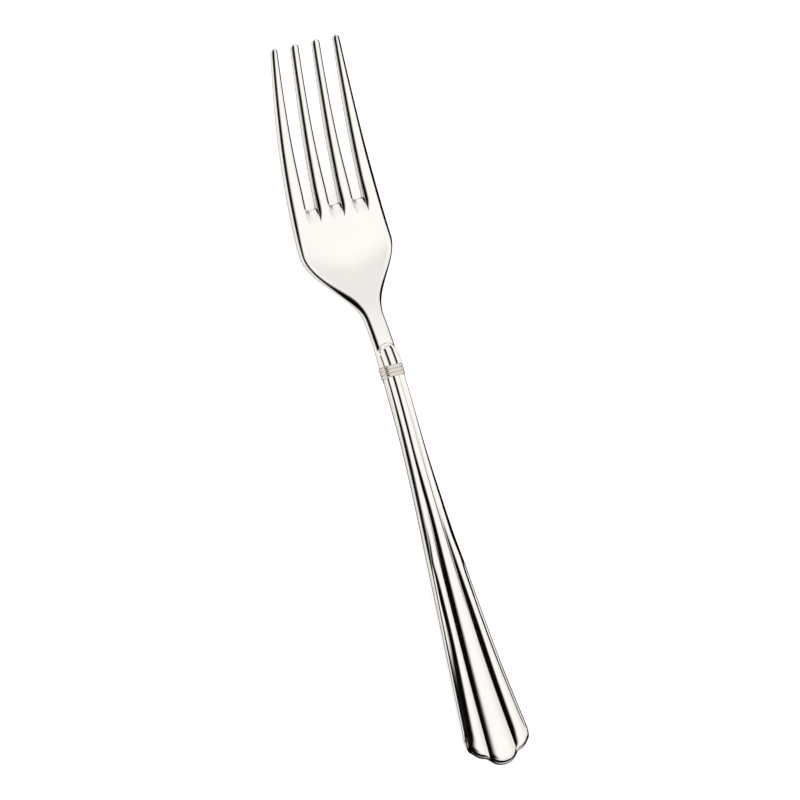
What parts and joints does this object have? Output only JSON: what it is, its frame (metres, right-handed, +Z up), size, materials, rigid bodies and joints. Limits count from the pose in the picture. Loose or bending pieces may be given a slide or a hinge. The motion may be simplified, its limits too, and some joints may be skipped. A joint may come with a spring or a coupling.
{
  "type": "serving fork",
  "caption": "Polished steel serving fork: a dished, tined head on a slim neck, a beaded collar and a hollow ribbed handle that flares to a lobed end.",
  "frame": {"origin": "on the table under the middle of the fork's length, with the fork lying on its back", "axes": "+X from the handle to the tine tips, +Y across the fork, +Z up out of the fork's front"},
  "size_m": [0.24, 0.034, 0.0174],
  "materials": {
    "polished_steel": "polished",
    "handle_cement": "matte"
  },
  "bodies": {
    "root": {"fork_head": "polished_steel", "collar": "polished_steel", "handle_front_shell": "polished_steel", "handle_back_shell": "polished_steel", "handle_filler": "handle_cement"}
  },
  "joints": []
}
